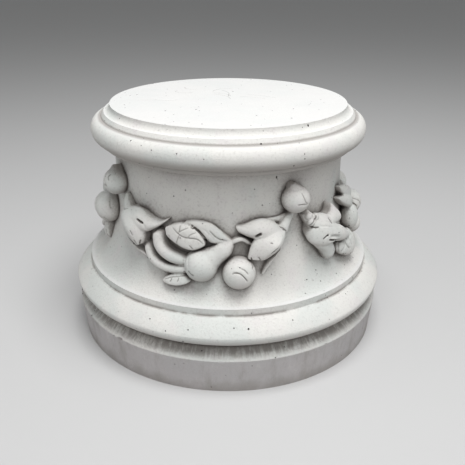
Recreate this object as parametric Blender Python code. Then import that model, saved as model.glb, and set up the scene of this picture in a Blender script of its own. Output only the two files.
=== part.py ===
"""Garden pedestal: a cast stone stand with a turned foot, a waisted neck and four hanging swags of fruit.

The whole stand is one casting. Metres, +Z up, origin on the floor under the centre. A swag hangs on each
of -Y, +X, +Y and -X, and a round fruit sits between them at 45 degrees.
"""
import math

import bmesh
import bpy
from mathutils import Matrix, Vector

# foot: a drum that narrows a little towards the floor, and the slope on its top
FOOT_RADIUS = 0.180
FOOT_DRAFT = 0.004
FOOT_HEIGHT = 0.038
SLOPE_HEIGHT = 0.013

# lower roll: a torus that stands proud of the foot, full below and flatter on its shoulder
LOWER_ROLL_RADIUS = 0.1822
LOWER_ROLL_BELLY = 0.014
LOWER_ROLL_SHOULDER = 0.016
SHOULDER_POWER = 1.25

# ledge: the upright band that the neck springs from
LEDGE_RADIUS = 0.1645
LEDGE_HEIGHT = 0.0075

# neck: a long quarter ellipse that runs into an upright wall
NECK_RADIUS = 0.1300
NECK_SWEEP = 0.105
NECK_WALL = 0.024

# upper roll, with the cove under it
COVE_HEIGHT = 0.0050
COVE_LIP = 0.0025
ROLL_SEAT_RADIUS = 0.1435
UPPER_ROLL_RADIUS = 0.1552
UPPER_ROLL_HEIGHT = 0.0255

# cap: a narrow band and a hollow bevel up to the flat top
CAP_BAND_RADIUS = 0.1400
CAP_BAND_HEIGHT = 0.0055
TOP_RADIUS = 0.1331
BEVEL_HEIGHT = 0.0080

# carving: the radius of the round fruit between the swags, which every other form is a share of
FRUIT_RADIUS = 0.0145
# how far each carved form reaches into the neck behind it, and its width there as a share of its own
ROOT_DEPTH = 0.004
ROOT_WIDTH = 0.6

SWAGS = 4
TURNED_SIDES = 60
FRUIT_SIDES = 12
FRUIT_RINGS = 9
# the joined solid is thinned to about this many triangles
MOST_TRIANGLES = 9600

SLOPE_TOP = FOOT_HEIGHT + SLOPE_HEIGHT
LOWER_ROLL_TOP = SLOPE_TOP + LOWER_ROLL_BELLY + LOWER_ROLL_SHOULDER
NECK_BOTTOM = LOWER_ROLL_TOP + LEDGE_HEIGHT
NECK_TOP = NECK_BOTTOM + NECK_SWEEP + NECK_WALL
ROLL_BOTTOM = NECK_TOP + COVE_HEIGHT + COVE_LIP
ROLL_TOP = ROLL_BOTTOM + UPPER_ROLL_HEIGHT
TOP_HEIGHT = ROLL_TOP + CAP_BAND_HEIGHT + BEVEL_HEIGHT


def oval(middle, half_width, half_height, start, end, steps, power=2.0):
    """Points of a superellipse about middle, from start to end in degrees; 0 points outwards, 90 up."""
    points = []
    for step in range(steps + 1):
        turn = math.radians(start + (end - start) * step / steps)
        across, up = math.cos(turn), math.sin(turn)
        points.append((
            middle[0] + half_width * math.copysign(abs(across) ** (2 / power), across),
            middle[1] + half_height * math.copysign(abs(up) ** (2 / power), up),
        ))
    return points


def pedestal_profile():
    """Radius and height of the turned outline, from the floor to the top."""
    belly_height = SLOPE_TOP + LOWER_ROLL_BELLY
    roll_depth = LOWER_ROLL_RADIUS - LEDGE_RADIUS
    sweep_depth = LEDGE_RADIUS - NECK_RADIUS
    cove_depth = ROLL_SEAT_RADIUS - NECK_RADIUS
    roll_middle = (ROLL_SEAT_RADIUS, (ROLL_BOTTOM + ROLL_TOP) / 2)
    band_top = ROLL_TOP + CAP_BAND_HEIGHT
    outline = [(FOOT_RADIUS - FOOT_DRAFT, 0.0), (FOOT_RADIUS, FOOT_HEIGHT)]
    belly_middle = (LEDGE_RADIUS, belly_height)
    outline += oval(belly_middle, roll_depth, LOWER_ROLL_BELLY, -90, 0, 3)
    outline += oval(belly_middle, roll_depth, LOWER_ROLL_SHOULDER, 0, 90, 4, SHOULDER_POWER)[1:]
    neck_middle = (LEDGE_RADIUS, NECK_BOTTOM + NECK_SWEEP)
    outline += oval(neck_middle, sweep_depth, NECK_SWEEP, 270, 180, 7)
    outline += oval((NECK_RADIUS, NECK_TOP + COVE_HEIGHT), cove_depth, COVE_HEIGHT, -90, 0, 2)
    outline += oval(roll_middle, UPPER_ROLL_RADIUS - ROLL_SEAT_RADIUS, UPPER_ROLL_HEIGHT / 2, -90, 90, 6)
    bevel_middle = (CAP_BAND_RADIUS, band_top + BEVEL_HEIGHT)
    outline += oval(bevel_middle, CAP_BAND_RADIUS - TOP_RADIUS, BEVEL_HEIGHT, 270, 180, 2)
    return outline


def neck_radius(height):
    """Radius of the plain neck at a height."""
    fall = max(0.0, NECK_BOTTOM + NECK_SWEEP - height) / NECK_SWEEP
    return LEDGE_RADIUS - (LEDGE_RADIUS - NECK_RADIUS) * math.sqrt(max(0.0, 1.0 - fall * fall))


def outward(angle):
    """Level direction away from the axis; the angle is in degrees from -Y towards +X."""
    turn = math.radians(angle)
    return Vector((math.sin(turn), -math.cos(turn), 0.0))


def neck_point(angle, rise, lift):
    """A place on the neck: rise runs from 0 at the ledge to 1 under the cove, lift is in fruit radii."""
    height = NECK_BOTTOM + rise * (NECK_TOP - NECK_BOTTOM)
    point = outward(angle) * (neck_radius(height) + lift * FRUIT_RADIUS)
    point.z = height
    return point


def blend_through(values, place):
    """Value at place, from 0 to 1, on a smooth curve through evenly spaced values."""
    spans = len(values) - 1
    span = min(int(place * spans), spans - 1)
    part = place * spans - span
    before, start = values[max(span - 1, 0)], values[span]
    end, after = values[span + 1], values[min(span + 2, spans)]
    bend = [2 * b - 5 * s + 4 * e - a for b, s, e, a in zip(before, start, end, after)]
    twist = [3 * s - b - 3 * e + a for b, s, e, a in zip(before, start, end, after)]
    return [s + 0.5 * part * ((e - b) + part * (k + part * w))
            for b, s, e, k, w in zip(before, start, end, bend, twist)]


def round_section(points):
    """A rounded back, as (across, out) shares, that turns under at both sides."""
    under = math.radians(28)
    turns = [math.pi + under - (math.pi + 2 * under) * n / (points - 1) for n in range(points)]
    return [(math.cos(turn), math.sin(turn)) for turn in turns]


# backs of the leafy forms, as (across, out) shares: a leaf has a sunk midrib, a petal is fuller at one side
LEAF_SECTION = [(-1.0, -0.15), (-0.55, 0.95), (0.0, 0.45), (0.55, 0.95), (1.0, -0.15)]
PETAL_SECTION = [(-1.0, -0.35), (-0.75, 0.45), (-0.2, 1.0), (0.45, 0.75), (1.0, -0.35)]
# widths from root to tip, as shares of the widest
LEAF_OUTLINE = (0.45, 0.95, 1.0, 0.72, 0.06)
PETAL_OUTLINE = (0.9, 1.0, 0.82, 0.55, 0.1)
BLUNT_OUTLINE = (0.45, 0.95, 1.0, 1.0, 0.95, 0.45)


def skin(rings, name):
    """One closed mesh object over a row of rings, with a point at each end."""
    shape = bmesh.new()
    rows = [[shape.verts.new(point) for point in ring] for ring in rings]
    for row, following in zip(rows, rows[1:]):
        for n, corner in enumerate(row):
            after = (n + 1) % len(row)
            shape.faces.new((corner, row[after], following[after], following[n]))
    for row, turned in ((rows[0], True), (rows[-1], False)):
        shape.faces.new(row[::-1] if turned else row)
    bmesh.ops.triangulate(shape, faces=shape.faces)
    bmesh.ops.recalc_face_normals(shape, faces=shape.faces)
    mesh = bpy.data.meshes.new(name)
    shape.to_mesh(mesh)
    shape.free()
    return bpy.data.objects.new(name, mesh)


def sweep(name, path, widths, heights, section, stations):
    """A carved form along a path on the neck, rooted in the wall behind it.

    The path's stops are (angle, rise, lift). Widths and heights are fruit radii at evenly spaced places
    along it, and the section holds the form's back as shares of them.
    """
    places = [n / stations for n in range(stations + 1)]
    centres = [neck_point(*blend_through(path, place)) for place in places]
    rings = []
    for n, place in enumerate(places):
        along = (centres[min(n + 1, stations)] - centres[max(n - 1, 0)]).normalized()
        angle, _, lift = blend_through(path, place)
        out = outward(angle)
        across = along.cross(out).normalized()
        width = blend_through([(w,) for w in widths], place)[0] * FRUIT_RADIUS
        height = blend_through([(h,) for h in heights], place)[0] * FRUIT_RADIUS
        ring = [centres[n] + across * width * x + out * height * y for x, y in section]
        root = lift * FRUIT_RADIUS + ROOT_DEPTH
        ring += [centres[n] + across * width * x - out * root for x in (ROOT_WIDTH, -ROOT_WIDTH)]
        rings.append(ring)
    return skin(rings, name)


def fruit(name, place, size=1.0, across=1.0, tall=1.0):
    """A round fruit on the neck, at (angle, rise, lift), with its size in fruit radii."""
    shape = bmesh.new()
    radius = size * FRUIT_RADIUS
    bmesh.ops.create_uvsphere(shape, u_segments=FRUIT_SIDES, v_segments=FRUIT_RINGS, radius=radius)
    bmesh.ops.scale(shape, vec=(across, across, tall), verts=shape.verts)
    turn = Matrix.Rotation(math.radians(place[0]), 4, "Z")
    bmesh.ops.transform(shape, matrix=Matrix.Translation(neck_point(*place)) @ turn, verts=shape.verts)
    bmesh.ops.triangulate(shape, faces=shape.faces)
    mesh = bpy.data.meshes.new(name)
    shape.to_mesh(mesh)
    shape.free()
    return bpy.data.objects.new(name, mesh)


def leaf(name, path, width, thickness, outline=LEAF_OUTLINE, section=LEAF_SECTION):
    """A leaf or petal; its path runs from root to tip, its half width and thickness are fruit radii."""
    widths = [width * share for share in outline]
    heights = [thickness * (0.4 + 0.6 * share) for share in outline]
    return sweep(name, path, widths, heights, section, 6)


def bow(name, path, thickness, sides=6):
    """A long bent fruit with blunt ends."""
    sizes = [thickness * share for share in BLUNT_OUTLINE]
    return sweep(name, path, sizes, sizes, round_section(sides), 6)


def horn(name, path, sizes, depth=1.0, stations=4, sides=7):
    """A stem, a flower's trumpet or a pear's neck: round, with its half widths given along the path."""
    return sweep(name, path, sizes, [size * depth for size in sizes], round_section(sides), stations)


def pear(name, path):
    """A pear, from the middle of its round end to its stalk."""
    return [fruit(name, path[0], 1.19), horn(name + "_neck", path, (1.1, 0.92, 0.7, 0.6, 0.25), 1.0, 5, 8)]


def front_swag():
    """Swag on -Y and +Y: two flowers, and between them leaves, two long fruits, a pear and a peach."""
    left_stem = [(-37.0, 0.70, 0.35), (-34.6, 0.653, 0.5), (-32.7, 0.59, 0.6)]
    left_mouth = [(-34.1, 0.60, 0.5), (-31.0, 0.55, 0.7), (-27.3, 0.507, 0.8), (-24.5, 0.447, 0.8),
                  (-22.5, 0.37, 0.7)]
    left_upper = [(-33.3, 0.60, 0.5), (-25.4, 0.598, 0.7), (-17.9, 0.575, 0.8), (-10.2, 0.62, 0.4)]
    left_under = [(-37, 0.44, 0.25), (-30.4, 0.362, 0.3), (-20.5, 0.26, 0.2)]
    right_stem = [(43.1, 0.66, 0.35), (40.8, 0.605, 0.5), (39.1, 0.545, 0.6)]
    right_mouth = [(39.1, 0.551, 0.5), (35.0, 0.517, 0.7), (30.0, 0.456, 0.8), (24.6, 0.36, 0.7)]
    right_upper = [(38.0, 0.562, 0.5), (32.0, 0.592, 0.7), (26.0, 0.598, 0.7), (18.7, 0.60, 0.5)]
    right_under = [(37.8, 0.382, 0.15), (33.5, 0.308, 0.2), (29.6, 0.224, 0.2)]
    inner = [(-14.7, 0.52, 0.5), (-13.0, 0.412, 0.6), (-7.9, 0.34, 0.6), (-1.0, 0.313, 0.5)]
    outer = [(-20.7, 0.39, 0.4), (-16.5, 0.29, 0.5), (-9.0, 0.242, 0.5), (-0.5, 0.253, 0.4)]
    front = [(-10.2, 0.54, 0.7), (-3.4, 0.503, 0.9), (1.5, 0.492, 0.9), (7.0, 0.46, 0.7)]
    back = [(-1.5, 0.618, 0.4), (4.1, 0.585, 0.5), (10.3, 0.553, 0.5), (16.4, 0.499, 0.4)]
    low = [(1.0, 0.17, 0.3), (-4.9, 0.158, 0.4), (-10.9, 0.118, 0.2)]
    curl = [(16.8, 0.468, 0.4), (18.9, 0.495, 0.5), (21.7, 0.503, 0.5), (25.1, 0.461, 0.4)]
    forms = [
        horn("left_stem", left_stem, (0.18, 0.27, 0.36)),
        horn("left_mouth", left_mouth, (0.36, 0.7, 0.85, 0.72, 0.36), 0.8, 6),
        horn("left_upper_petal", left_upper, (0.3, 0.68, 0.6, 0.3, 0.08), 0.8, 6),
        leaf("left_under_petal", left_under, 0.3, 0.3, PETAL_OUTLINE, PETAL_SECTION),
        horn("right_stem", right_stem, (0.19, 0.28, 0.38)),
        horn("right_mouth", right_mouth, (0.36, 0.85, 0.95, 0.78, 0.42), 0.8, 6),
        horn("right_upper_petal", right_upper, (0.3, 0.66, 0.62, 0.42, 0.1), 0.8, 6),
        leaf("right_under_petal", right_under, 0.25, 0.3, PETAL_OUTLINE, PETAL_SECTION),
        bow("inner_long_fruit", inner, 0.44),
        bow("outer_long_fruit", outer, 0.3),
        leaf("front_leaf", front, 0.82, 0.3),
        leaf("back_leaf", back, 0.6, 0.3),
        leaf("low_leaf", low, 0.48, 0.3),
        fruit("peach", (20.0, 0.238, 0.3), 1.17),
        bow("curl", curl, 0.15, 5),
    ]
    return forms + pear("pear", [(4.9, 0.29, 0.3), (11.2, 0.38, 0.35), (17.3, 0.47, 0.4)])


def side_swag():
    """Swag on +X and -X: a flower, leaves and a heap of fruit, and a last round fruit."""
    stem = [(-41.0, 0.655, 0.35), (-38.8, 0.604, 0.5), (-35.6, 0.54, 0.6)]
    mouth = [(-38.3, 0.56, 0.5), (-33.5, 0.495, 0.7), (-28.0, 0.46, 0.8), (-20.4, 0.406, 0.8),
             (-12.5, 0.335, 0.8)]
    down = [(-34.1, 0.41, 0.6), (-29.9, 0.311, 0.6), (-28.7, 0.206, 0.4)]
    upper = [(-27.4, 0.515, 0.6), (-22.9, 0.547, 0.8), (-20.8, 0.625, 0.6)]
    fan = [(-10.9, 0.29, 0.5), (-14.5, 0.23, 0.6), (-15.8, 0.145, 0.2)]
    small = [(3.0, 0.52, 0.4), (-3.0, 0.57, 0.4), (-8.0, 0.66, 0.1)]
    broad = [(10.0, 0.45, 0.5), (17.0, 0.50, 0.4), (25.0, 0.56, 0.2)]
    long_fruit = [(9.0, 0.17, 0.3), (16.0, 0.19, 0.4), (22.0, 0.25, 0.4), (26.0, 0.35, 0.4)]
    forms = [
        horn("side_stem", stem, (0.26, 0.36, 0.46)),
        horn("side_mouth", mouth, (0.4, 0.86, 0.95, 0.68, 0.3), 0.8, 6),
        leaf("down_petal", down, 0.5, 0.4, PETAL_OUTLINE, PETAL_SECTION),
        leaf("upper_petal", upper, 0.34, 0.4, PETAL_OUTLINE, PETAL_SECTION),
        fruit("speckled_fruit", (-2.5, 0.395, 0.5), 1.0, 0.75, 1.08),
        fruit("high_fruit", (6.0, 0.46, 0.6), 1.0),
        fruit("low_fruit", (7.0, 0.265, 0.45), 0.85),
        leaf("fan_leaf", fan, 1.0, 0.3, BLUNT_OUTLINE),
        leaf("small_leaf", small, 0.4, 0.3),
        leaf("broad_leaf", broad, 0.62, 0.3),
        bow("long_fruit", long_fruit, 0.34),
        fruit("end_fruit", (34.0, 0.475, 0.5), 1.12),
        leaf("tail_leaf", [(32.5, 0.37, 0.3), (33.0, 0.28, 0.4), (35.0, 0.19, 0.1)], 0.36, 0.3),
    ]
    return forms + pear("side_pear", [(17.5, 0.38, 0.5), (22.5, 0.43, 0.5), (28.0, 0.50, 0.4)])


def turned_body():
    """The plain pedestal, turned about its axis and closed at top and bottom."""
    rings = []
    for radius, height in pedestal_profile():
        turns = [360.0 * n / TURNED_SIDES for n in range(TURNED_SIDES)]
        rings.append([outward(turn) * radius + Vector((0.0, 0.0, height)) for turn in turns])
    return skin(rings, "pedestal")


def fuse(base, others, scene):
    """Join the others to base as one solid with few faces, and drop them.

    The exact solver leaves open edges where many forms cross, so the manifold one joins them.
    """
    group = bpy.data.collections.new("others")
    scene.collection.children.link(group)
    for other in others:
        group.objects.link(other)
    union = base.modifiers.new("union", "BOOLEAN")
    union.operation = "UNION"
    union.operand_type = "COLLECTION"
    union.solver = "MANIFOLD"
    union.collection = group
    bpy.context.view_layer.update()
    joined = base.evaluated_get(bpy.context.evaluated_depsgraph_get())
    thin = base.modifiers.new("thin", "DECIMATE")
    thin.ratio = min(1.0, MOST_TRIANGLES / triangle_count(joined.data))
    bpy.context.view_layer.update()
    thinned = base.evaluated_get(bpy.context.evaluated_depsgraph_get())
    mesh = bpy.data.meshes.new_from_object(thinned)
    base.modifiers.clear()
    base.data = mesh
    for other in others:
        bpy.data.objects.remove(other)
    bpy.data.collections.remove(group)


def triangle_count(mesh):
    """How many triangles the mesh's faces come to."""
    return sum(len(face.vertices) - 2 for face in mesh.polygons)


def cast_stone():
    """Pale grey cast stone."""
    material = bpy.data.materials.new("cast_stone")
    material.use_nodes = True
    shader = material.node_tree.nodes["Principled BSDF"]
    shader.inputs["Base Color"].default_value = (0.70, 0.69, 0.66, 1.0)
    shader.inputs["Roughness"].default_value = 0.88
    shader.inputs["Metallic"].default_value = 0.0
    return material


def main():
    for item in list(bpy.data.objects):
        bpy.data.objects.remove(item)
    scene = bpy.context.scene
    pedestal = turned_body()
    scene.collection.objects.link(pedestal)
    quarter = 360.0 / SWAGS
    carving = []
    for number in range(SWAGS):
        forms = side_swag() if number % 2 else front_swag()
        forms.append(fruit("knot_fruit", (quarter / 2, 0.78, 0.5)))
        turn = Matrix.Rotation(math.radians(quarter * number), 4, "Z")
        for form in forms:
            form.data.transform(turn)
        carving += forms
    fuse(pedestal, carving, scene)
    pedestal.data.shade_smooth()
    pedestal.data.set_sharp_from_angle(angle=math.radians(35))
    pedestal.data.materials.clear()
    pedestal.data.materials.append(cast_stone())


main()
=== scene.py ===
"""Looks of the garden pedestal: weathered cast stone, turned mouldings and four carved swags of fruit."""
import math

import bmesh
import bpy
import numpy as np
from mathutils import Matrix, Vector
from mathutils.bvhtree import BVHTree
from mathutils.kdtree import KDTree


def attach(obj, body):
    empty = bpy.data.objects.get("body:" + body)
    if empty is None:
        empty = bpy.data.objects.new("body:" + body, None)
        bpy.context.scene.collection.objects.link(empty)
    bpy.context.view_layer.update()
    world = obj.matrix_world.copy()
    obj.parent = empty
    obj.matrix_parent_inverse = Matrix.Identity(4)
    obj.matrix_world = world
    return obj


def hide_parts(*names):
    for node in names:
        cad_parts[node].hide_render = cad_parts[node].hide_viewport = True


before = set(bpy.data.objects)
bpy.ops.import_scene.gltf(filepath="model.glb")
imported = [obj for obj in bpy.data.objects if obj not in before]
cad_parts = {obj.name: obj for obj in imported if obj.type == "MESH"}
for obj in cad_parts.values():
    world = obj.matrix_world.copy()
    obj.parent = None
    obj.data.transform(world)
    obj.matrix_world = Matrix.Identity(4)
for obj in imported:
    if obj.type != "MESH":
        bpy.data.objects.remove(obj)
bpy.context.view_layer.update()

# foot: a drum that narrows a little towards the floor, and the slope on its top
FOOT_RADIUS = 0.180
FOOT_DRAFT = 0.004
FOOT_HEIGHT = 0.038
SLOPE_HEIGHT = 0.013

# lower roll, full below and flatter on its shoulder
LOWER_ROLL_RADIUS = 0.1822
LOWER_ROLL_BELLY = 0.014
LOWER_ROLL_SHOULDER = 0.016
SHOULDER_POWER = 1.25

# ledge: the upright band that the neck springs from
LEDGE_RADIUS = 0.1645
LEDGE_HEIGHT = 0.0075

# neck: a long quarter ellipse that runs into an upright wall
NECK_RADIUS = 0.1300
NECK_SWEEP = 0.105
NECK_WALL = 0.024

# upper roll, with the cove under it
COVE_HEIGHT = 0.0050
COVE_LIP = 0.0025
ROLL_SEAT_RADIUS = 0.1435
UPPER_ROLL_RADIUS = 0.1552
UPPER_ROLL_HEIGHT = 0.0255

# cap: a narrow band and a hollow bevel up to the flat top
CAP_BAND_RADIUS = 0.1400
CAP_BAND_HEIGHT = 0.0055
TOP_RADIUS = 0.1331
BEVEL_HEIGHT = 0.0080

SLOPE_TOP = FOOT_HEIGHT + SLOPE_HEIGHT
LOWER_ROLL_TOP = SLOPE_TOP + LOWER_ROLL_BELLY + LOWER_ROLL_SHOULDER
NECK_BOTTOM = LOWER_ROLL_TOP + LEDGE_HEIGHT
NECK_TOP = NECK_BOTTOM + NECK_SWEEP + NECK_WALL
ROLL_BOTTOM = NECK_TOP + COVE_HEIGHT + COVE_LIP
ROLL_TOP = ROLL_BOTTOM + UPPER_ROLL_HEIGHT
TOP_HEIGHT = ROLL_TOP + CAP_BAND_HEIGHT + BEVEL_HEIGHT

# carving: the radius of the round fruit between the swags, which every other form is a share of
FRUIT_RADIUS = 0.0145
# how far each form reaches into the neck behind it, and its width there as a share of its own
ROOT_DEPTH = 0.004
ROOT_WIDTH = 0.6
# angle, rise and lift of the round fruit between two swags
KNOT = (45.0, 0.78, 0.5)

# grain of the carving's mesh, triangles that one swag keeps, and steps along a form and round the axis
CARVING_GRAIN = 0.0006
SWAG_TRIANGLES = 35000
FORM_STATIONS = 32
TURNED_SIDES = 240
MILLIMETRE = 0.001

# cuts: points between two stops; where rays to the carving start and how far they reach, in fruit radii
CUT_STEPS = 24
CUT_RAY_LIFT = 5.0
CUT_RAY_REACH = 4.9
# share of its depth that a cut has at its ends, how fast it deepens, and how strongly it takes grime and
# painted shade
CUT_END_DEPTH = 0.25
CUT_END_GROWTH = 5
CUT_GRIME_AND_SHADE = 1.4

# studio: the floor, the sky, and each lamp's place and power
FLOOR_GREY = (0.62, 0.62, 0.62, 1.0)
FLOOR_REACH = 15.0
SKY_COLOUR = (0.97, 0.98, 0.98, 1.0)
SKY_STRENGTH = 0.24
LAMP_SIZE = 1.0
LAMPS = {
    "sky": ((0.30, -0.36, 1.68), 26),
    "front": ((0.65, -1.35, 0.95), 3.2),
    "left": ((-1.2, -0.6, 1.1), 2),
}

# camera, as it stood for the photograph
FRAME_PIXELS = 465
FOCAL_PIXELS = 622.88
CAMERA_PITCH = math.radians(20.9525)
CAMERA_AZIMUTH = math.radians(15.6)
CAMERA_ROLL = math.radians(0.184)
CAMERA_DISTANCE = 0.7489
CAMERA_AIM = Vector((0.0, 0.0, 0.144))
CAMERA_CENTRE = (228.07, 197.80)


def outward(angle):
    """Level direction away from the axis; the angle is in degrees from -Y towards +X."""
    turn = math.radians(angle)
    return Vector((math.sin(turn), -math.cos(turn), 0.0))


def neck_radius(height):
    """Radius of the plain neck at a height."""
    fall = max(0.0, NECK_BOTTOM + NECK_SWEEP - height) / NECK_SWEEP
    return LEDGE_RADIUS - (LEDGE_RADIUS - NECK_RADIUS) * math.sqrt(max(0.0, 1.0 - fall * fall))


def neck_point(angle, rise, lift):
    """A place on the neck: rise runs from 0 at the ledge to 1 under the cove, lift is in fruit radii."""
    height = NECK_BOTTOM + rise * (NECK_TOP - NECK_BOTTOM)
    point = outward(angle) * (neck_radius(height) + lift * FRUIT_RADIUS)
    point.z = height
    return point


def blend_through(values, place):
    """Value at place, from 0 to 1, on a smooth curve through evenly spaced values."""
    spans = len(values) - 1
    span = min(int(place * spans), spans - 1)
    part = place * spans - span
    before, start = values[max(span - 1, 0)], values[span]
    end, after = values[span + 1], values[min(span + 2, spans)]
    bend = [2 * b - 5 * s + 4 * e - a for b, s, e, a in zip(before, start, end, after)]
    twist = [3 * s - b - 3 * e + a for b, s, e, a in zip(before, start, end, after)]
    return [s + 0.5 * part * ((e - b) + part * (k + part * w))
            for b, s, e, k, w in zip(before, start, end, bend, twist)]


def oval(middle, half_width, half_height, start, end, steps, power=2.0):
    """Points of a superellipse about middle, from start to end in degrees; 0 points outwards, 90 up."""
    points = []
    for step in range(steps + 1):
        turn = math.radians(start + (end - start) * step / steps)
        across, up = math.cos(turn), math.sin(turn)
        points.append((
            middle[0] + half_width * math.copysign(abs(across) ** (2 / power), across),
            middle[1] + half_height * math.copysign(abs(up) ** (2 / power), up),
        ))
    return points


def linked(name, data):
    """A new object of the data, in the scene."""
    item = bpy.data.objects.new(name, data)
    bpy.context.scene.collection.objects.link(item)
    return item


def item_of(name, shape):
    """A new object of a finished shape, which is freed."""
    mesh = bpy.data.meshes.new(name)
    shape.to_mesh(mesh)
    shape.free()
    return linked(name, mesh)


def settle(item):
    """Makes the item the plain mesh that its modifiers make of it."""
    bpy.context.view_layer.update()
    graph = bpy.context.evaluated_depsgraph_get()
    mesh = bpy.data.meshes.new_from_object(item.evaluated_get(graph))
    item.modifiers.clear()
    item.data = mesh


# sockets that share their name with others of the same node are found by number
MIX_SHARE, MIX_FIRST, MIX_SECOND, MIXED_COLOUR = 0, 6, 7, 2
RANDOM_LOW, RANDOM_HIGH, RANDOM_SEED, RANDOM_NUMBER = 2, 3, 8, 1


class Wire:
    """One output of a node, which can be added to, taken from, multiplied and divided."""

    def __init__(self, bench, socket):
        self.bench = bench
        self.socket = socket

    def maths(self, operation, *others, first=None):
        """A Math node on this output and the others, or on another first value."""
        values = [self if first is None else first, *others]
        return self.bench.add("ShaderNodeMath", {"operation": operation}, dict(enumerate(values)))

    def __add__(self, other):
        return self.maths("ADD", other)

    def __sub__(self, other):
        return self.maths("SUBTRACT", other)

    def __rsub__(self, other):
        return self.maths("SUBTRACT", self, first=other)

    def __mul__(self, other):
        return self.maths("MULTIPLY", other)

    def __truediv__(self, other):
        return self.maths("DIVIDE", other)

    def __pow__(self, other):
        return self.maths("POWER", other)

    __radd__ = __add__

    def beside(self, name):
        """Another output of the same node."""
        return Wire(self.bench, self.socket.node.outputs[name])


class Bench:
    """Adds nodes to a tree."""

    def __init__(self, tree):
        self.tree = tree

    def add(self, kind, settings=None, fill=None, out=0):
        """A node of a kind, with its settings made first and its sockets filled by values or wires."""
        node = self.tree.nodes.new(kind)
        for name, value in (settings or {}).items():
            setattr(node, name, value)
        for name, value in (fill or {}).items():
            if isinstance(value, (Wire, list)):
                for wire in value if isinstance(value, list) else [value]:
                    self.tree.links.new(wire.socket, node.inputs[name])
            else:
                node.inputs[name].default_value = value
        return Wire(self, node.outputs[out]) if len(node.outputs) else None

    def blend(self, share, first, second):
        """A mix of two colours, from the first at share 0 to the second at 1."""
        fill = {MIX_SHARE: share, MIX_FIRST: first, MIX_SECOND: second}
        return self.add("ShaderNodeMix", {"data_type": "RGBA"}, fill, MIXED_COLOUR)

    def between(self, value, low, high):
        """0 below low, 1 above high and smooth between them; low may be above high."""
        fill = {"Value": value, "From Min": low, "From Max": high}
        return self.add("ShaderNodeMapRange", {"interpolation_type": "SMOOTHSTEP"}, fill)

    def vector(self, x=0.0, y=0.0, z=0.0):
        """A vector from three numbers or wires."""
        return self.add("ShaderNodeCombineXYZ", fill={"X": x, "Y": y, "Z": z})

    def scaled(self, vector, amount):
        """A vector times a number."""
        return self.add("ShaderNodeVectorMath", {"operation": "SCALE"}, {"Vector": vector, "Scale": amount})

    def random(self, low, high, seed):
        """A random number for each element."""
        fill = {RANDOM_LOW: low, RANDOM_HIGH: high, RANDOM_SEED: seed}
        return self.add("FunctionNodeRandomValue", {"data_type": "FLOAT"}, fill, RANDOM_NUMBER)

    def shape_of(self, item):
        """The geometry of an object input."""
        return self.add("GeometryNodeObjectInfo", fill={"Object": item}, out="Geometry")

    def marked(self, shape, dark):
        """A cutter whose faces carry how dark the painted shade in the hollow they leave is, as the attribute
        pit.
        """
        settings = {"data_type": "FLOAT", "domain": "FACE"}
        fill = {"Geometry": shape, "Name": "pit", "Value": dark}
        return self.add("GeometryNodeStoreNamedAttribute", settings, fill)

    def openness(self, reach):
        """How open to the sky a place is, counting only what stands within reach of it."""
        settings = {"samples": 8, "only_local": True}
        return self.add("ShaderNodeAmbientOcclusion", settings, {"Distance": reach}, "AO")

    def noise(self, place, scale, detail=2.0, rough=0.5):
        """Noise about 0.5 at a number of waves to the metre."""
        fill = {"Vector": place, "Scale": scale, "Detail": detail, "Roughness": rough}
        return self.add("ShaderNodeTexNoise", {}, fill)


def start_tree(name, sizes):
    """A Geometry Nodes tree with a geometry, a material and the named sizes as inputs."""
    tree = bpy.data.node_groups.new(name, "GeometryNodeTree")
    tree.interface.new_socket("Geometry", in_out="INPUT", socket_type="NodeSocketGeometry")
    tree.interface.new_socket("Material", in_out="INPUT", socket_type="NodeSocketMaterial")
    tree.interface.new_socket("Geometry", in_out="OUTPUT", socket_type="NodeSocketGeometry")
    for label, value in sizes.items():
        kind = "NodeSocketInt" if isinstance(value, int) else "NodeSocketFloat"
        if value is None:
            kind = "NodeSocketObject"
        socket = tree.interface.new_socket(label, in_out="INPUT", socket_type=kind)
        if value is not None:
            socket.default_value = value
    bench = Bench(tree)
    return bench, bench.add("NodeGroupInput")


def end_tree(bench, source, shape):
    """Ends a tree: its instances become real and take the material."""
    real = bench.add("GeometryNodeRealizeInstances", fill={"Geometry": shape})
    material = source.beside("Material")
    stone = bench.add("GeometryNodeSetMaterial", fill={"Geometry": real, "Material": material})
    bench.add("NodeGroupOutput", fill={"Geometry": stone})
    return bench.tree


def grow(item, tree, values):
    """Makes the item the plain mesh that a tree makes of it, with the tree's inputs set by their names."""
    step = item.modifiers.new(tree.name, "NODES")
    step.node_group = tree
    for socket in tree.interface.items_tree:
        if socket.in_out == "INPUT" and socket.name in values:
            step[socket.identifier] = values[socket.name]
    settle(item)


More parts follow.
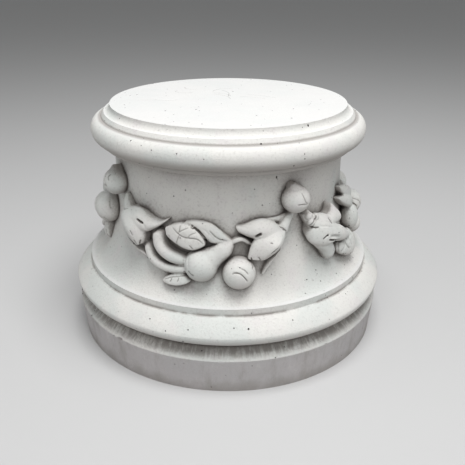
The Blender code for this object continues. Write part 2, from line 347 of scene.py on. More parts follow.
def turning_tree():
    """Turns an outline, a chain of edges with radius in X and height in Y, round the upright axis."""
    sizes = {"Sides": TURNED_SIDES, "Wear": 0.3 * MILLIMETRE, "Waves": 24.0}
    bench, source = start_tree("turned_stone", sizes)
    # Curve to Mesh lays the outline outwards from a guide circle and upside down,
    # so it is first moved in by the circle's radius and turned over
    guide = 0.01
    outline = bench.add("GeometryNodeMeshToCurve", fill={"Mesh": source})
    outline = bench.add("GeometryNodeTransform", fill={
        "Geometry": outline, "Translation": (-guide, 0.0, 0.0), "Scale": (1.0, -1.0, 1.0)})
    circle = bench.add("GeometryNodeCurvePrimitiveCircle", {"mode": "RADIUS"}, {
        "Resolution": source.beside("Sides"), "Radius": guide})
    skin = bench.add("GeometryNodeCurveToMesh", fill={"Curve": circle, "Profile Curve": outline})
    skin = bench.add("GeometryNodeMergeByDistance", fill={"Geometry": skin, "Distance": 1e-6})
    skin = bench.add("GeometryNodeFlipFaces", fill={"Mesh": skin})
    # worn hollows press the skin inwards; they fade out near the floor, so the underside stays flat
    place = bench.add("GeometryNodeInputPosition")
    height = bench.add("ShaderNodeSeparateXYZ", fill={"Vector": place}).beside("Z")
    hollow = bench.noise(place, source.beside("Waves"), 3.0) * bench.between(height, 0.0, 0.01)
    push = bench.scaled(bench.add("GeometryNodeInputNormal"), hollow * source.beside("Wear") * -1.0)
    skin = bench.add("GeometryNodeSetPosition", fill={"Geometry": skin, "Offset": push})
    return end_tree(bench, source, skin)


def casting_tree():
    """Unites the turned stone with two swags that repeat in turn round the axis."""
    bench, source = start_tree("ring_of_swags", {"Front swag": None, "Side swag": None, "Repeats": 2})
    repeats = source.beside("Repeats")
    bodies = [source]
    for name, start in (("Front swag", 0.0), ("Side swag", 0.5)):
        swag = bench.shape_of(source.beside(name))
        spots = bench.add("GeometryNodeMeshLine", fill={"Count": repeats, "Offset": (0.0, 0.0, 0.0)})
        turn = (bench.add("GeometryNodeInputIndex") + start) / repeats * math.tau
        bodies.append(bench.add("GeometryNodeInstanceOnPoints", fill={
            "Points": spots, "Instance": swag, "Rotation": bench.vector(z=turn)}))
    union = bench.add("GeometryNodeMeshBoolean", {"operation": "UNION", "solver": "MANIFOLD"}, {1: bodies})
    return end_tree(bench, source, union)


def weather_tree():
    """Takes round pits, chips along two edges and scratches along guide lines out of the stone."""
    sizes = {
        "Scratches": None, "Seed": 7, "Pits": 3000.0, "Apart": 2.6 * MILLIMETRE,
        "Smallest": 0.35 * MILLIMETRE, "Largest": 1.15 * MILLIMETRE,
        "Scratch width": 0.55 * MILLIMETRE, "Chips": 80, "Chip length": 4.5 * MILLIMETRE,
    }
    bench, source = start_tree("weathering", sizes)
    seed = source.beside("Seed")
    place = bench.add("GeometryNodeInputPosition")
    height = bench.add("ShaderNodeSeparateXYZ", fill={"Vector": place}).beside("Z")
    # no pits on the underside, a few all over and many where a slow noise is high
    above = bench.between(height, 0.001, 0.003)
    crowd = bench.between(bench.noise(place, 26.0, 3.0), 0.46, 0.68) * above
    spots = bench.add("GeometryNodeDistributePointsOnFaces", {"distribute_method": "POISSON"}, {
        "Mesh": source, "Distance Min": source.beside("Apart"), "Density Max": source.beside("Pits"),
        "Density Factor": crowd * 0.9 + above * 0.06, "Seed": seed})
    ball = bench.add("GeometryNodeMeshIcoSphere", fill={"Radius": 1.0, "Subdivisions": 2})
    spread = source.beside("Largest") - source.beside("Smallest")
    size = bench.random(0.0, 1.0, seed) ** 2.5 * spread + source.beside("Smallest")
    twist = bench.vector(*[bench.random(0.0, 3.1, turn) for turn in (11, 12, 13)])
    uneven = bench.vector(size * bench.random(0.8, 1.5, 14), size, size * 0.85)
    cutters = [bench.add("GeometryNodeInstanceOnPoints", fill={
        "Points": spots, "Instance": bench.marked(ball, 1.0), "Rotation": twist, "Scale": uneven})]
    # chips sit along the drum's upper edge and along the edge it stands on, at about half of the places there
    loose = 4.0 * MILLIMETRE
    for radius, level, first in ((FOOT_RADIUS, FOOT_HEIGHT, 21), (FOOT_RADIUS - FOOT_DRAFT, 0.0, 31)):
        rim = bench.add("GeometryNodeCurvePrimitiveCircle", {"mode": "RADIUS"}, {
            "Resolution": 180, "Radius": radius})
        marks = bench.add("GeometryNodeCurveToPoints", {"mode": "COUNT"}, {
            "Curve": rim, "Count": source.beside("Chips")})
        aside = [bench.random(-loose, loose, first + n) for n in (0, 1)]
        offset = bench.vector(*aside, level)
        points = bench.add("GeometryNodeSetPosition", fill={"Geometry": marks, "Offset": offset})
        length = bench.random(0.35, 1.0, first + 2) ** 2.0 * source.beside("Chip length")
        present = bench.random(0.0, 1.0, first + 3).maths("GREATER_THAN", 0.5)
        cutters.append(bench.add("GeometryNodeInstanceOnPoints", fill={
            "Points": points, "Selection": present, "Instance": ball, "Rotation": marks.beside("Rotation"),
            "Scale": bench.vector(length * 0.30, length * 0.30, length)}))
    # scratches are thin tubes along the guide lines, and get less painted shade than pits
    lines = bench.add("GeometryNodeMeshToCurve", fill={"Mesh": bench.shape_of(source.beside("Scratches"))})
    profile = bench.add("GeometryNodeCurvePrimitiveCircle", {"mode": "RADIUS"}, {
        "Resolution": 8, "Radius": source.beside("Scratch width")})
    tubes = bench.add("GeometryNodeCurveToMesh", fill={
        "Curve": lines, "Profile Curve": profile, "Fill Caps": True})
    cutters.append(bench.marked(tubes, 0.45))
    worn = bench.add("GeometryNodeMeshBoolean", {"operation": "DIFFERENCE", "solver": "MANIFOLD"}, {
        0: source, 1: cutters})
    return end_tree(bench, source, worn)


def pedestal_profile():
    """Radius and height of the turned outline, from the middle of the underside to the middle of the top."""
    belly_height = SLOPE_TOP + LOWER_ROLL_BELLY
    roll_depth = LOWER_ROLL_RADIUS - LEDGE_RADIUS
    sweep_depth = LEDGE_RADIUS - NECK_RADIUS
    cove_depth = ROLL_SEAT_RADIUS - NECK_RADIUS
    roll_middle = (ROLL_SEAT_RADIUS, (ROLL_BOTTOM + ROLL_TOP) / 2)
    band_top = ROLL_TOP + CAP_BAND_HEIGHT
    shoulder = oval((LEDGE_RADIUS, belly_height), roll_depth, LOWER_ROLL_SHOULDER, 0, 90, 9, SHOULDER_POWER)
    rows = 7
    outline = [(0.0, 0.0)]
    outline += [(FOOT_RADIUS - FOOT_DRAFT * (1 - n / rows), FOOT_HEIGHT * n / rows) for n in range(rows + 1)]
    outline += oval((LEDGE_RADIUS, belly_height), roll_depth, LOWER_ROLL_BELLY, -90, 0, 8)
    outline += shoulder[1:]
    neck_middle = (LEDGE_RADIUS, NECK_BOTTOM + NECK_SWEEP)
    outline += oval(neck_middle, sweep_depth, NECK_SWEEP, 270, 180, 20)
    outline += oval((NECK_RADIUS, NECK_TOP + COVE_HEIGHT), cove_depth, COVE_HEIGHT, -90, 0, 6)
    outline += oval(roll_middle, UPPER_ROLL_RADIUS - ROLL_SEAT_RADIUS, UPPER_ROLL_HEIGHT / 2, -90, 90, 16)
    bevel_middle = (CAP_BAND_RADIUS, band_top + BEVEL_HEIGHT)
    outline += oval(bevel_middle, CAP_BAND_RADIUS - TOP_RADIUS, BEVEL_HEIGHT, 270, 180, 6)
    return outline + [(0.0, TOP_HEIGHT)]


def back(power=2.0, lean=0.0):
    """Rounded back of a form, as (across, out) shares: a low power makes a ridge, lean moves it sideways."""
    points = 19
    under = math.radians(28)
    section = []
    for n in range(points):
        turn = math.pi + under - (math.pi + 2 * under) * n / (points - 1)
        across, out = math.cos(turn), math.sin(turn)
        if out > 0:
            out = math.sqrt(max(0.0, 1 - abs(across) ** power))
            across += lean * out * out
        section.append((across, out))
    return section


def add_rings(shape, rings):
    """Adds a closed skin over a row of rings of points to shape."""
    rows = [[shape.verts.new(point) for point in ring] for ring in rings]
    for row, following in zip(rows, rows[1:]):
        for n, corner in enumerate(row):
            after = (n + 1) % len(row)
            shape.faces.new((corner, row[after], following[after], following[n]))
    shape.faces.new(rows[0][::-1])
    shape.faces.new(rows[-1])


def broad_form(shape, first, second, lifts, heights, section):
    """Adds a form that fills the neck between two edges, which are (angle, rise) stops from root to tip.

    Lifts and heights are fruit radii at evenly spaced places along it: how far the edges stand off the
    neck, and how far the back stands off the edges.
    """
    rings = []
    for n in range(FORM_STATIONS + 1):
        place = n / FORM_STATIONS
        start, end = Vector(blend_through(first, place)), Vector(blend_through(second, place))
        lift = blend_through([(value,) for value in lifts], place)[0]
        height = blend_through([(value,) for value in heights], place)[0]
        ring = []
        for x, y in section:
            angle, rise = start.lerp(end, (1 + x) / 2)
            ring.append(neck_point(angle, rise, lift + height * y))
        for x in (ROOT_WIDTH, -ROOT_WIDTH):
            angle, rise = start.lerp(end, (1 + x) / 2)
            ring.append(neck_point(angle, rise, -ROOT_DEPTH / FRUIT_RADIUS))
        rings.append(ring)
    add_rings(shape, rings)


def sweep(shape, path, widths, heights, section):
    """Adds a closed form along a path of (angle, rise, lift) stops, rooted in the neck behind it."""
    places = [n / FORM_STATIONS for n in range(FORM_STATIONS + 1)]
    centres = [neck_point(*blend_through(path, place)) for place in places]
    rings = []
    for n, place in enumerate(places):
        along = (centres[min(n + 1, FORM_STATIONS)] - centres[max(n - 1, 0)]).normalized()
        angle, _, lift = blend_through(path, place)
        out = outward(angle)
        across = along.cross(out).normalized()
        width = max(0.02, blend_through([(w,) for w in widths], place)[0]) * FRUIT_RADIUS
        height = max(0.02, blend_through([(h,) for h in heights], place)[0]) * FRUIT_RADIUS
        ring = [centres[n] + across * width * x + out * height * y for x, y in section]
        root = lift * FRUIT_RADIUS + ROOT_DEPTH
        ring += [centres[n] + across * width * x - out * root for x in (ROOT_WIDTH, -ROOT_WIDTH)]
        rings.append(ring)
    add_rings(shape, rings)


def fruit(shape, place, size=1.0, across=1.0, tall=1.0):
    """Adds a round fruit at (angle, rise, lift), with its size in fruit radii."""
    turn = Matrix.Rotation(math.radians(place[0]), 4, "Z")
    stretch = Matrix.Diagonal((across, across, tall, 1.0))
    matrix = Matrix.Translation(neck_point(*place)) @ turn @ stretch
    bmesh.ops.create_uvsphere(shape, u_segments=40, v_segments=26, radius=size * FRUIT_RADIUS, matrix=matrix)


# a small leaf's width at evenly spaced places from root to tip, as shares of its greatest
LEAF_OUTLINE = (0.45, 0.95, 1.0, 0.72, 0.06)


def leaf(shape, path, width, thickness):
    """Adds a small leaf; its path runs from root to tip."""
    widths = [width * share for share in LEAF_OUTLINE]
    heights = [thickness * (0.4 + 0.6 * share) for share in LEAF_OUTLINE]
    sweep(shape, path, widths, heights, back(3.0))


def bow(shape, path, thickness):
    """Adds a long bent fruit with round ends."""
    sizes = [thickness * (1 - abs(2 * n / 10 - 1) ** 5) ** 0.5 for n in range(11)]
    sweep(shape, path, sizes, sizes, back())


def horn(shape, path, sizes):
    """Adds a stem or a pear's neck: round, with its half widths given along the path."""
    sweep(shape, path, sizes, sizes, back())


def pear(shape, path):
    """Adds a pear, from the middle of its round end to its stalk."""
    fruit(shape, path[0], 1.19)
    horn(shape, path, (1.1, 0.92, 0.7, 0.6, 0.25))


def knot_fruit(shape):
    """Adds the round fruit between two swags, drawn up to a point."""
    fruit(shape, KNOT)
    horn(shape, [KNOT, (44.3, 0.85, 0.5), (43.2, 0.915, 0.5)], (0.9, 0.66, 0.16))


def left_flower(shape):
    """Flower whose stem hangs from the left knot: a front petal over a pointed upper one."""
    horn(shape, [(-37.9, 0.71, 0.2), (-35.8, 0.661, 0.4), (-33.2, 0.60, 0.5)], (0.1, 0.27, 0.36))
    broad_form(
        shape,
        [(-34.4, 0.618), (-35.8, 0.56), (-33.9, 0.519), (-30.9, 0.462), (-27.6, 0.404), (-24.2, 0.36)],
        [(-30.2, 0.645), (-24.5, 0.636), (-22.3, 0.579), (-20.8, 0.526), (-19.9, 0.454), (-20.8, 0.392)],
        (0.6, 0.7, 0.8, 0.85, 0.8, 0.75), (0.3, 0.6, 0.72, 0.7, 0.55, 0.3), back(1.4),
    )
    broad_form(
        shape,
        [(-34.1, 0.618), (-28.8, 0.653), (-23.9, 0.656), (-20.1, 0.621), (-16.8, 0.596), (-13.9, 0.59),
         (-10.2, 0.626)],
        [(-36.2, 0.507), (-30.3, 0.474), (-23.8, 0.476), (-19.0, 0.494), (-14.9, 0.54), (-12.3, 0.578),
         (-10.1, 0.615)],
        (0.55, 0.6, 0.65, 0.65, 0.6, 0.5, 0.45), (0.35, 0.6, 0.65, 0.55, 0.4, 0.25, 0.1), back(2.0),
    )


def left_under_petal(shape):
    """Thin petal that shows behind the left flower."""
    broad_form(
        shape,
        [(-39.3, 0.499), (-36.4, 0.404), (-31.2, 0.342), (-25.2, 0.296), (-19.7, 0.257)],
        [(-35.8, 0.477), (-32.7, 0.41), (-27.3, 0.34), (-22.3, 0.308), (-18.7, 0.27)],
        (0.35, 0.35, 0.35, 0.3, 0.2), (0.2, 0.25, 0.25, 0.2, 0.05), back(2.0),
    )


def right_flower(shape):
    """Flower whose stem hangs from the right knot: a creased front petal over a pointed upper one."""
    horn(shape, [(43.9, 0.675, 0.35), (40.9, 0.618, 0.5), (38.4, 0.56, 0.6)], (0.2, 0.29, 0.4))
    broad_form(
        shape,
        [(37.1, 0.577), (32.7, 0.597), (28.4, 0.553), (25.5, 0.498), (24.0, 0.431), (23.1, 0.361)],
        [(39.7, 0.537), (38.8, 0.5), (36.9, 0.457), (35.1, 0.415), (33.0, 0.383), (30.9, 0.352)],
        (0.5, 0.7, 0.85, 0.85, 0.8, 0.75), (0.35, 0.6, 0.85, 0.8, 0.62, 0.35), back(1.15, 0.3),
    )
    broad_form(
        shape,
        [(38.0, 0.574), (34.3, 0.633), (30.3, 0.661), (26.3, 0.65), (22.1, 0.617), (18.6, 0.604)],
        [(38.9, 0.495), (33.8, 0.48), (29.4, 0.488), (25.8, 0.514), (22.7, 0.534), (20.0, 0.557)],
        (0.5, 0.55, 0.6, 0.6, 0.5, 0.4), (0.35, 0.6, 0.7, 0.6, 0.4, 0.2), back(2.0),
    )


def right_under_petal(shape):
    """Thin petal that shows behind the right flower, and the low leaf behind its stem."""
    broad_form(
        shape,
        [(35.7, 0.388), (32.9, 0.34), (30.6, 0.279), (29.0, 0.217)],
        [(38.1, 0.413), (36.0, 0.355), (32.9, 0.281), (29.8, 0.201)],
        (0.4, 0.4, 0.3, 0.2), (0.3, 0.3, 0.2, 0.05), back(1.6),
    )
    broad_form(
        shape,
        [(41.9, 0.67), (37.6, 0.648), (32.1, 0.641)],
        [(43.7, 0.64), (39.3, 0.594), (34.0, 0.606)],
        (0.15, 0.2, 0.15), (0.1, 0.15, 0.1), back(2.0),
    )


def front_leaves(shape):
    """Two broad leaves over the long fruits, and a low one under the pear."""
    broad_form(
        shape,
        [(-2.8, 0.619), (0.7, 0.635), (4.4, 0.639), (8.5, 0.63), (12.0, 0.588), (14.7, 0.54), (17.1, 0.498)],
        [(-2.1, 0.6), (0.9, 0.583), (4.0, 0.553), (6.6, 0.508), (9.3, 0.475), (13.2, 0.477), (16.7, 0.487)],
        (0.4, 0.5, 0.5, 0.55, 0.55, 0.5, 0.4), (0.1, 0.25, 0.3, 0.3, 0.25, 0.2, 0.1), back(3.0),
    )
    broad_form(
        shape,
        [(-10.4, 0.568), (-6.4, 0.604), (-3.2, 0.624), (0.8, 0.614), (3.9, 0.572), (6.1, 0.51), (6.7, 0.472)],
        [(-10.4, 0.548), (-9.3, 0.508), (-5.9, 0.471), (-2.1, 0.439), (1.7, 0.424), (4.6, 0.439),
         (6.6, 0.463)],
        (0.7, 0.8, 0.9, 0.95, 0.9, 0.8, 0.75), (0.1, 0.25, 0.3, 0.3, 0.3, 0.2, 0.1), back(4.0),
    )
    broad_form(
        shape,
        [(1.1, 0.18), (-1.2, 0.21), (-5.3, 0.21), (-8.7, 0.18), (-11.1, 0.132)],
        [(1.2, 0.166), (-0.6, 0.141), (-4.1, 0.12), (-8.0, 0.118), (-11.0, 0.125)],
        (0.35, 0.4, 0.4, 0.35, 0.25), (0.15, 0.3, 0.3, 0.25, 0.05), back(3.0),
    )


def front_fruit(shape):
    """The long fruits, the pear with its curled stalk, the peach and the knot."""
    bow(shape, [(-14.9, 0.53, 0.5), (-13.0, 0.412, 0.6), (-7.9, 0.345, 0.6), (0.0, 0.318, 0.5)], 0.46)
    bow(shape, [(-20.7, 0.40, 0.4), (-16.5, 0.29, 0.5), (-9.0, 0.242, 0.5), (1.0, 0.253, 0.4)], 0.33)
    fruit(shape, (20.0, 0.238, 0.3), 1.17)
    bow(shape, [(16.8, 0.468, 0.4), (18.9, 0.495, 0.5), (21.7, 0.503, 0.5), (25.5, 0.455, 0.4)], 0.17)
    pear(shape, [(4.9, 0.29, 0.3), (11.2, 0.38, 0.35), (17.3, 0.47, 0.4)])
    knot_fruit(shape)


def side_flower(shape):
    """Flower at the start of the side swag, with a down petal and an upward curl."""
    horn(shape, [(-40.2, 0.652, 0.4), (-38.2, 0.596, 0.55), (-36.0, 0.54, 0.65)], (0.3, 0.42, 0.46))
    broad_form(
        shape,
        [(-36.4, 0.602), (-33.4, 0.616), (-29.2, 0.596), (-25.9, 0.524), (-19.4, 0.447), (-14.8, 0.378),
         (-10.8, 0.316)],
        [(-38.9, 0.525), (-40.2, 0.465), (-38.6, 0.394), (-33.1, 0.348), (-27.5, 0.357), (-22.1, 0.326),
         (-15.1, 0.304)],
        (0.5, 0.6, 0.75, 0.85, 0.9, 0.9, 0.85), (0.3, 0.6, 0.7, 0.7, 0.55, 0.4, 0.2), back(1.9),
    )
    broad_form(
        shape,
        [(-37.6, 0.412), (-36.0, 0.356), (-33.0, 0.296), (-31.2, 0.246), (-29.7, 0.206)],
        [(-27.1, 0.37), (-25.5, 0.319), (-24.7, 0.266), (-25.8, 0.224), (-27.6, 0.204)],
        (0.6, 0.65, 0.6, 0.5, 0.4), (0.6, 0.5, 0.4, 0.3, 0.1), back(2.4),
    )
    broad_form(
        shape,
        [(-31.5, 0.573), (-28.6, 0.580), (-26.6, 0.594), (-25.5, 0.613), (-24.6, 0.633), (-23.4, 0.652)],
        [(-25.3, 0.487), (-21.0, 0.485), (-18.9, 0.510), (-19.4, 0.553), (-21.2, 0.602), (-23.2, 0.650)],
        (0.6, 0.72, 0.8, 0.78, 0.7, 0.55), (0.6, 0.52, 0.45, 0.38, 0.25, 0.1), back(2.0),
    )


def side_leaves(shape):
    """Leaves of the side swag: the fan, two small ones at the top, a broad one and the tail."""
    broad_form(
        shape,
        [(-17.7, 0.318), (-22.0, 0.303), (-23.2, 0.26), (-21.1, 0.2), (-16.9, 0.15)],
        [(-6.0, 0.318), (-4.0, 0.25), (-5.0, 0.18), (-8.0, 0.13), (-11.5, 0.115)],
        (0.5, 0.6, 0.6, 0.5, 0.4), (0.3, 0.45, 0.45, 0.35, 0.15), back(2.6),
    )
    leaf(shape, [(6.0, 0.52, 0.5), (-3.0, 0.62, 0.6), (-10.7, 0.712, 0.3)], 0.55, 0.3)
    leaf(shape, [(4.0, 0.47, 0.6), (-5.0, 0.555, 0.75), (-13.6, 0.625, 0.4)], 0.46, 0.3)
    leaf(shape, [(10.0, 0.45, 0.5), (17.0, 0.50, 0.4), (25.0, 0.56, 0.2)], 0.62, 0.3)
    leaf(shape, [(32.5, 0.37, 0.3), (33.0, 0.28, 0.4), (35.0, 0.19, 0.1)], 0.36, 0.3)


def side_fruit(shape):
    """The heap of fruit on the side swag, the lumps on its flower's crown, and its knot."""
    fruit(shape, (-1.5, 0.385, 0.6), 1.0, 0.75, 1.08)
    fruit(shape, (6.0, 0.475, 0.6), 1.0, 1.0, 1.05)
    fruit(shape, (7.0, 0.265, 0.45), 0.85)
    bow(shape, [(9.0, 0.17, 0.3), (16.0, 0.19, 0.4), (22.0, 0.25, 0.4), (26.0, 0.35, 0.4)], 0.34)
    fruit(shape, (34.0, 0.475, 0.5), 1.12)
    pear(shape, [(17.5, 0.38, 0.5), (22.5, 0.43, 0.5), (28.0, 0.50, 0.4)])
    for lump in ((-39.2, 0.625, 0.75), (-36.0, 0.605, 0.8), (-38.6, 0.575, 0.85), (-35.6, 0.552, 0.9)):
        fruit(shape, lump, 0.3)
    knot_fruit(shape)


# each swag's forms in groups, with how many times a group is smoothed before the swag is pressed together
FRONT_SWAG = (
    (left_flower, 5), (right_flower, 3), (left_under_petal, 1), (right_under_petal, 1), (front_leaves, 1),
    (front_fruit, 1),
)
SIDE_SWAG = ((side_flower, 4), (side_leaves, 2), (side_fruit, 1))


# cuts in either swag's knot: (angle, rise) stops, then half width and depth in millimetres
KNOT_CUTS = (
    (((44.7, 0.852), (45.3, 0.816), (45.7, 0.790), (47.0, 0.762)), 1.0, 0.8),
    (((42.7, 0.769), (44.5, 0.769), (46.9, 0.762)), 1.0, 0.8),
)

# cuts in the front swag
FRONT_CUTS = (
    # front leaf: midrib, veins and a nick
    (((-6.2, 0.590), (-4.1, 0.562), (-2.7, 0.543), (-0.9, 0.533), (1.0, 0.531), (3.1, 0.528), (4.5, 0.516),
      (6.0, 0.485)), 1.1, 0.9),
    (((-3.0, 0.615), (-3.0, 0.599), (-3.1, 0.581), (-3.3, 0.562)), 0.9, 0.8),
    (((-3.3, 0.565), (-1.6, 0.589), (0.2, 0.607)), 0.9, 0.7),
    (((0.4, 0.532), (1.2, 0.555), (2.4, 0.568), (3.3, 0.573)), 0.9, 0.7),
    (((-3.2, 0.540), (-3.9, 0.501), (-4.2, 0.478), (-3.9, 0.458)), 0.9, 0.8),
    (((1.1, 0.473), (1.7, 0.459), (2.2, 0.445)), 0.9, 0.8),
    (((-7.8, 0.525), (-7.75, 0.516), (-7.7, 0.507)), 0.9, 0.7),
    # dark gap between the two leaves, and the crease of the back one
    (((1.0, 0.612), (2.5, 0.595), (3.9, 0.574), (5.3, 0.548), (6.7, 0.516), (7.6, 0.490)), 1.4, 1.8),
    (((3.5, 0.581), (3.9, 0.574), (4.3, 0.566)), 1.7, 2.4),
    (((8.5, 0.581), (9.5, 0.559), (10.5, 0.539), (11.7, 0.521), (12.7, 0.512), (15.1, 0.500)), 1.1, 0.9),
    (((5.2, 0.596), (7.5, 0.570), (9.2, 0.535), (10.4, 0.505)), 1.2, 0.45),
    # low leaf: midrib and veins
    (((-9.6, 0.150), (-6.8, 0.180), (-4.4, 0.194), (-2.3, 0.205), (-1.1, 0.208)), 1.0, 0.8),
    (((-6.7, 0.150), (-6.4, 0.162), (-6.2, 0.174)), 0.9, 0.8),
    (((-3.6, 0.163), (-3.4, 0.176), (-3.3, 0.189)), 0.9, 0.8),
    # pear: its eye and the soft crease beside it
    (((1.2, 0.276), (2.1, 0.260), (3.1, 0.252)), 1.2, 1.3),
    (((0.4, 0.374), (0.7, 0.343), (0.9, 0.306)), 1.8, 0.6),
    # peach: two arcs and a slit
    (((20.3, 0.323), (21.4, 0.312), (22.3, 0.294), (22.8, 0.279)), 1.0, 0.9),
    (((17.2, 0.283), (18.3, 0.293), (19.6, 0.290), (20.7, 0.275), (21.8, 0.246), (22.5, 0.223)), 1.1, 1.1),
    (((25.3, 0.310), (25.0, 0.304), (24.7, 0.297)), 0.9, 0.9),
    # left flower: the hole, the valley under it, the stem's seam and a ragged tip
    (((-22.8, 0.595), (-21.3, 0.584), (-20.1, 0.575)), 1.9, 3.4),
    (((-20.1, 0.574), (-19.0, 0.551), (-18.7, 0.524)), 1.8, 0.9),
    (((-34.0, 0.610), (-32.6, 0.618), (-30.5, 0.634)), 1.0, 0.8),
    (((-33.0, 0.640), (-34.0, 0.680), (-35.6, 0.715)), 0.9, 0.5),
    (((-21.0, 0.425), (-21.4, 0.405), (-21.7, 0.386)), 1.2, 1.4),
    (((-23.4, 0.420), (-23.2, 0.400), (-22.9, 0.380)), 1.0, 1.0),
    (((-24.8, 0.500), (-24.3, 0.482), (-23.8, 0.464)), 0.8, 0.8),
    # right flower: the hole, the stem's seam, the slit under it and a ragged tip
    (((26.2, 0.543), (27.0, 0.557), (27.9, 0.569)), 2.2, 4.8),
    (((36.6, 0.592), (37.7, 0.577), (38.8, 0.556)), 1.0, 1.0),
    (((33.8, 0.465), (32.6, 0.448), (31.5, 0.425)), 1.1, 2.0),
    (((24.4, 0.377), (24.6, 0.360), (24.7, 0.340)), 1.1, 1.2),
    (((27.0, 0.388), (27.5, 0.370), (28.0, 0.350)), 1.1, 1.0),
    (((31.2, 0.508), (31.5, 0.506), (31.8, 0.504)), 0.9, 0.9),
) + KNOT_CUTS

# cuts in the side swag
SIDE_CUTS = (
    # flower: seams of the stem and crown, the line along the body
    (((-36.7, 0.625), (-37.1, 0.601), (-38.8, 0.582), (-40.0, 0.550)), 1.2, 1.2),
    (((-39.0, 0.538), (-37.7, 0.534), (-36.5, 0.535)), 1.2, 1.3),
    (((-35.8, 0.539), (-32.9, 0.528), (-29.7, 0.504)), 1.5, 0.6),
    # the lip: its slit, the dark line below and the hollow under it
    (((-35.0, 0.436), (-33.7, 0.453), (-32.6, 0.463)), 1.2, 1.8),
    (((-32.1, 0.413), (-29.8, 0.397), (-27.2, 0.377), (-24.7, 0.356)), 1.5, 2.6),
    (((-31.2, 0.442), (-28.9, 0.429), (-25.4, 0.402)), 2.4, 1.5),
    # curl and heap
    (((-30.0, 0.575), (-29.6, 0.554), (-29.0, 0.530)), 1.2, 2.0),
    (((-3.0, 0.553), (-1.2, 0.524), (0.7, 0.494), (2.0, 0.460)), 1.1, 1.0),
    (((-1.0, 0.570), (1.2, 0.540), (3.2, 0.505), (4.4, 0.465)), 1.1, 0.8),
    # fan
    (((-18.4, 0.298), (-19.1, 0.255), (-20.8, 0.221)), 2.0, 1.3),
    (((-17.8, 0.287), (-17.1, 0.250), (-15.5, 0.213)), 1.6, 1.2),
    (((-13.9, 0.300), (-13.2, 0.260), (-12.5, 0.220)), 1.8, 1.1),
    (((-9.9, 0.300), (-9.0, 0.255), (-9.2, 0.205)), 1.8, 1.1),
    (((-21.7, 0.301), (-22.5, 0.266), (-22.1, 0.223)), 1.7, 1.0),
    (((-19.2, 0.185), (-18.6, 0.172), (-17.9, 0.155)), 1.2, 1.4),
    (((-13.4, 0.155), (-13.3, 0.140), (-13.2, 0.125)), 1.2, 1.4),
    # end fruit: the round mark on it and the crease under it
    (((38.3, 0.570), (39.2, 0.550), (39.8, 0.530), (40.3, 0.510), (41.0, 0.495)), 1.2, 0.7),
    (((38.1, 0.413), (37.9, 0.385), (37.3, 0.368)), 1.2, 1.2),
    # tail
    (((34.7, 0.274), (34.9, 0.240), (35.2, 0.207)), 1.0, 0.8),
    (((33.0, 0.280), (33.4, 0.245), (34.2, 0.215)), 1.0, 0.8),
    # the crescent on the far side of its knot
    (((47.2, 0.860), (47.0, 0.840), (47.8, 0.815)), 1.0, 0.9),
) + KNOT_CUTS


def rows_of(mesh, name):
    """Each vertex's co or normal as a row."""
    rows = np.empty(len(mesh.vertices) * 3)
    mesh.vertices.foreach_get(name, rows)
    return rows.reshape(-1, 3)


def cut_path(surface, stops):
    """Points close together along a cut on the carving, each with the way out of it."""
    points, ways = [], []
    steps = CUT_STEPS * (len(stops) - 1)
    for n in range(steps + 1):
        angle, rise = blend_through(stops, n / steps)
        start = neck_point(angle, rise, CUT_RAY_LIFT)
        hit, way, _, _ = surface.ray_cast(start, -outward(angle), CUT_RAY_REACH * FRUIT_RADIUS)
        if hit is not None:
            points.append(hit)
            ways.append(way)
    return np.array(points), np.array(ways)


def carve(item, cuts):
    """Presses the cuts into a carving; returns points in them, with their half widths, for the grime and
    painted shade.
    """
    graph = bpy.context.evaluated_depsgraph_get()
    surface = BVHTree.FromObject(item, graph)
    places, normals = rows_of(item.data, "co"), rows_of(item.data, "normal")
    sunk = np.zeros(len(places))
    grooves = []
    for stops, half_width, depth in cuts:
        half_width *= MILLIMETRE
        depth *= MILLIMETRE
        points, ways = cut_path(surface, stops)
        if len(points) == 0:
            print("a cut missed the carving", stops[0])
            continue
        near = np.all((places > points.min(0) - half_width) & (places < points.max(0) + half_width), axis=1)
        chosen = np.nonzero(near)[0]
        groove = np.zeros(len(chosen))
        for n, point in enumerate(points):
            along = n / len(points)
            taper = min(1.0, CUT_END_DEPTH + CUT_END_GROWTH * min(along, 1 - along))
            gaps = np.linalg.norm(places[chosen] - point, axis=1)
            groove = np.maximum(groove, np.clip(1 - (gaps / half_width) ** 2, 0, 1) ** 2 * depth * taper)
        sunk[chosen] = np.maximum(sunk[chosen], groove)
        # a narrow cut gets grime and dark painted shade, a wide soft one hardly any
        dark = min(1.0, max(0.0, 1.6 * depth / half_width - 0.8))
        grooves += [(tuple(point), half_width, dark) for point in points - ways * depth * 0.6]
    item.data.vertices.foreach_set("co", (places - normals * sunk[:, None]).ravel())
    item.data.update()
    return grooves


def mark_cuts(stone, grooves):
    """Stores how deep in a cut each vertex of the stone lies, from 0 to 1, as the attribute cut, which the
    material paints as shade and grime.
    """
    tree = KDTree(len(grooves))
    for n, groove in enumerate(grooves):
        tree.insert(groove[0], n)
    tree.balance()
    depths = []
    for vertex in stone.data.vertices:
        _, nearest, gap = tree.find(vertex.co)
        half_width, dark = grooves[nearest][1:]
        depths.append(dark * min(1.0, max(0.0, CUT_GRIME_AND_SHADE - CUT_GRIME_AND_SHADE * gap / half_width)))
    attribute = stone.data.attributes.new("cut", "FLOAT", "POINT")
    attribute.data.foreach_set("value", depths)


def triangle_count(mesh):
    """How many triangles the mesh's faces come to."""
    return sum(len(face.vertices) - 2 for face in mesh.polygons)


def shaped(name, fill):
    """A linked object of everything that fill adds to a shape."""
    shape = bmesh.new()
    fill(shape)
    bmesh.ops.recalc_face_normals(shape, faces=shape.faces)
    return item_of(name, shape)


